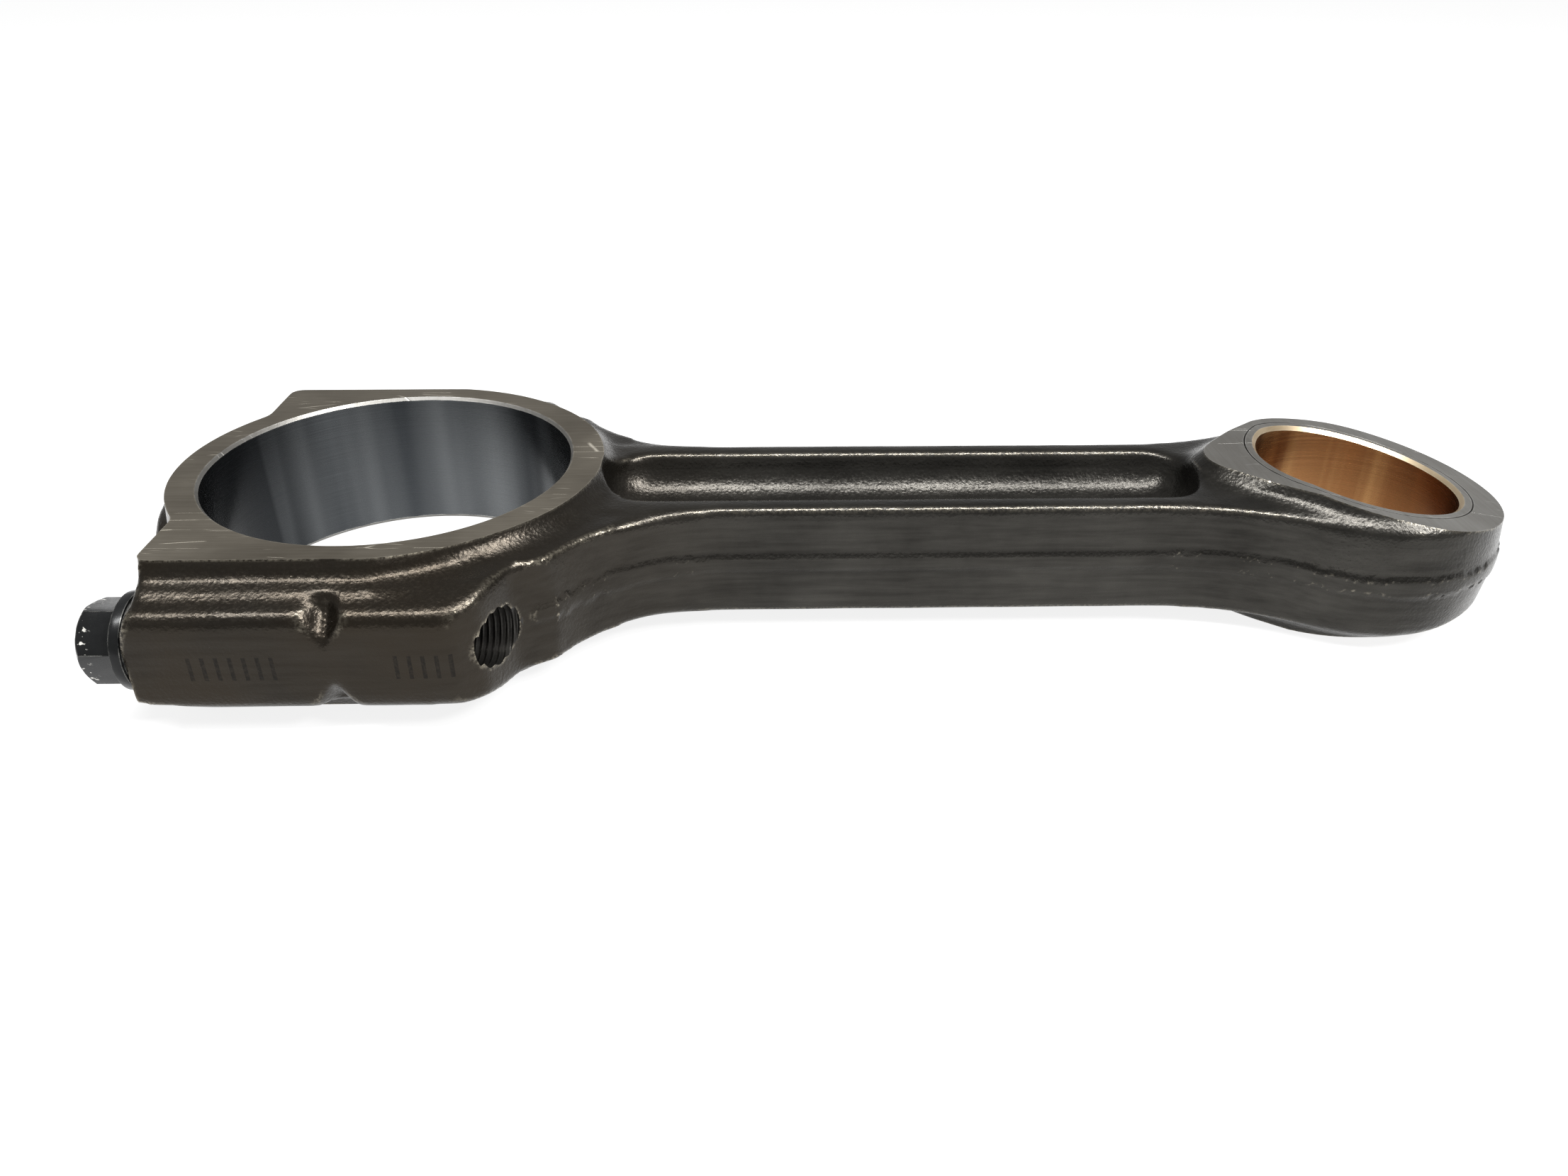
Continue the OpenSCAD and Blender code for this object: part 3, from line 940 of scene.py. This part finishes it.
print("4 machining")
machineBlank()
saw = breakSaw()
cap = copyOf(body)
combine(cap, copyOf(saw), "INTERSECT")
cut(body, saw)
finishPiece(body, "rodForging", "rod", "rod_forging")
finishPiece(cap, "bearingCap", "cap", "bearing_cap")


# the bolts, with their heads on the cap's seats
bolt = {
    "flangeRadius": 9.8,
    "flangeRim": 2.2,
    "flangeTop": 3.4,
    "acrossFlats": 15.0,
    "headEnd": -47.6,
    "headChamfer": 1.15,
    "hexTurn": 12.0,  # degrees
    "overlap": 0.8,  # how far the hexagon runs into its flange
    "flangeFoot": 7.6,
    "shankRadius": 5.4,
    "neckRadius": 6.0,
    "threadStart": -2.0,
    "tip": 21.9,
    "tipChamfer": 1.2,
    "edge": 0.28,
}


def makeBolt():
    b = bolt
    y = -boltY
    seat = -machining["seatX"]
    corner = b["acrossFlats"] / 2 / math.cos(math.radians(30))
    rim = seat - b["flangeRim"]
    top = seat - b["flangeTop"]

    def onAxis(radius, low, high, topRadius=None, sides=96):
        return addRound(radius, low, high, centre=(y, 0), topRadius=topRadius, axis="X", sides=sides)

    head = onAxis(corner, b["headEnd"], top + b["overlap"], sides=6)
    editMode(head)
    selectAll()
    bpy.ops.transform.rotate(value=math.radians(b["hexTurn"]), orient_axis="X", center_override=(0, y, 0))
    objectMode()
    # the hexagon's corners are turned off at its outer end
    chamferEnd = b["headEnd"] + b["headChamfer"]
    envelope = onAxis(corner - 1.1, b["headEnd"] - 0.01, chamferEnd, topRadius=corner + 0.3)
    combine(envelope, onAxis(corner + 0.3, chamferEnd, 0), "UNION")
    combine(head, envelope, "INTERSECT")
    parts = [
        onAxis(b["flangeRadius"], rim, seat - 0.25),
        onAxis(b["flangeRadius"] - 0.7, seat - 0.3, seat - 0.02),
        onAxis(b["flangeFoot"], top, rim, topRadius=b["flangeRadius"]),
        onAxis(b["shankRadius"], seat - 1, b["threadStart"] + 0.5, sides=64),
        onAxis(b["neckRadius"], seat - 1, seat + 4, sides=64),
    ]
    for part in parts:
        combine(head, part, "UNION")
    useModifier(head, "BEVEL", width=b["edge"], segments=2, limit_method="ANGLE",
                angle_limit=math.radians(28))
    root, crest = thread["boltRadii"]
    tail = addThread((root, crest), b["threadStart"], b["tip"], y)
    pointStart = b["tip"] - b["tipChamfer"]
    envelope = onAxis(crest + 0.2, b["threadStart"] - 1, pointStart, sides=64)
    point = onAxis(crest + 0.2, pointStart, b["tip"] + 0.1, topRadius=root - 0.5, sides=64)
    combine(envelope, point, "UNION")
    combine(tail, envelope, "INTERSECT")
    combine(head, tail, "UNION")
    return coat(head, blackOxide)


print("5 bolts")
near = makeBolt()
far = copyOf(near)
far.location.y = 2 * boltY
placed(far)
finishPiece(near, "nearBolt", "bolt_near", "cap_bolt_near")
finishPiece(far, "farBolt", "bolt_far", "cap_bolt_far")


# the bush pressed into the small end
bush = {
    "fit": 0.02,
    "leadIn": 0.9,
}


def makeBush():
    tube = addRound(bushRadius - bush["fit"], -faceZ, faceZ, centre=(smallEndX, 0), sides=192)
    coat(tube, groundFace)
    cut(tube, *[coat(tiltedBlock(level), groundFace) for level in (-1, 1)])
    cut(tube, coat(addRound(pinRadius, -40, 40, centre=(smallEndX, 0), sides=192), bronzeBore))
    cut(tube, *leadInTools(pinRadius, bush["leadIn"], bronzeEdge))
    return tube


print("6 bush")
finishPiece(makeBush(), "pinBush", "rod", "small_end_bush")


# floor, light and camera
studio = {
    "floor": (0.2, 0.2, 0.2),
    "floorGlow": 0.85,  # keeps the floor pale far from the lights
    "surround": 0.4,  # the world's light on the piece
    "backdrop": 1.0,  # and how bright it looks behind it
    "lights": (
        ("overhead", (0.1, -0.3, 1.1), (1.7, 0.13), 32.0),
        ("side", (0.95, -0.5, 0.95), (0.3, 0.3), 14.0),
    ),
    "aim": (0.08, 0, 0),
}

print("7 stage")
bpy.ops.object.select_all(action="DESELECT")
bpy.ops.mesh.primitive_plane_add(size=12, location=(0, 0, cadBox[0].z))
floor = bpy.context.active_object
floor.name = "floor"
floorPaint, _, floorShader = newFinish("floorPaint", 0.0, 0.9)
floorShader.inputs["Base Color"].default_value = (*studio["floor"], 1)
floorShader.inputs["Emission Color"].default_value = (1, 1, 1, 1)
floorShader.inputs["Emission Strength"].default_value = studio["floorGlow"]
coat(floor, floorPaint)

world = bpy.data.worlds.new("studio")
bpy.context.scene.world = world
world.use_nodes = True
background = world.node_tree.nodes["Background"]
background.inputs["Color"].default_value = (1, 1, 1, 1)
seen = addNode(world.node_tree, "ShaderNodeLightPath").outputs["Is Camera Ray"]
world.node_tree.links.new(remap(world.node_tree, seen, 0, 1, studio["surround"], studio["backdrop"]),
                          background.inputs["Strength"])

for name, place, size, power in studio["lights"]:
    lamp = bpy.data.objects.new(name, bpy.data.lights.new(name, "AREA"))
    bpy.context.scene.collection.objects.link(lamp)
    lamp.location = place
    lamp.data.shape = "RECTANGLE"
    lamp.data.size, lamp.data.size_y = size
    lamp.data.energy = power
    lamp.rotation_euler = (Vector(studio["aim"]) - Vector(place)).to_track_quat("-Z", "Y").to_euler()

view = {  # angles in degrees, the place in metres
    "place": (0.08160, -0.24307, 0.12414),
    "azimuth": 1.6753,
    "elevation": 30.1244,
    "roll": 0.3134,
    "lens": 26.69,
}
camera = bpy.data.objects.new("camera", bpy.data.cameras.new("camera"))
bpy.context.scene.collection.objects.link(camera)
azimuth = math.radians(view["azimuth"])
elevation = math.radians(view["elevation"])
roll = math.radians(view["roll"])
forward = Vector((math.sin(azimuth) * math.cos(elevation), math.cos(azimuth) * math.cos(elevation),
                  -math.sin(elevation)))
right = Vector((math.cos(azimuth), -math.sin(azimuth), 0))
up = right.cross(forward)
rightTurned = right * math.cos(roll) + up * math.sin(roll)
upTurned = up * math.cos(roll) - right * math.sin(roll)
camera.matrix_world = Matrix((
    (rightTurned.x, upTurned.x, -forward.x, view["place"][0]),
    (rightTurned.y, upTurned.y, -forward.y, view["place"][1]),
    (rightTurned.z, upTurned.z, -forward.z, view["place"][2]),
    (0, 0, 0, 1),
))
camera.data.lens = view["lens"]
camera.data.sensor_width = 36
camera.data.clip_start = 0.01
bpy.context.scene.camera = camera
bpy.context.scene.view_settings.view_transform = "Standard"
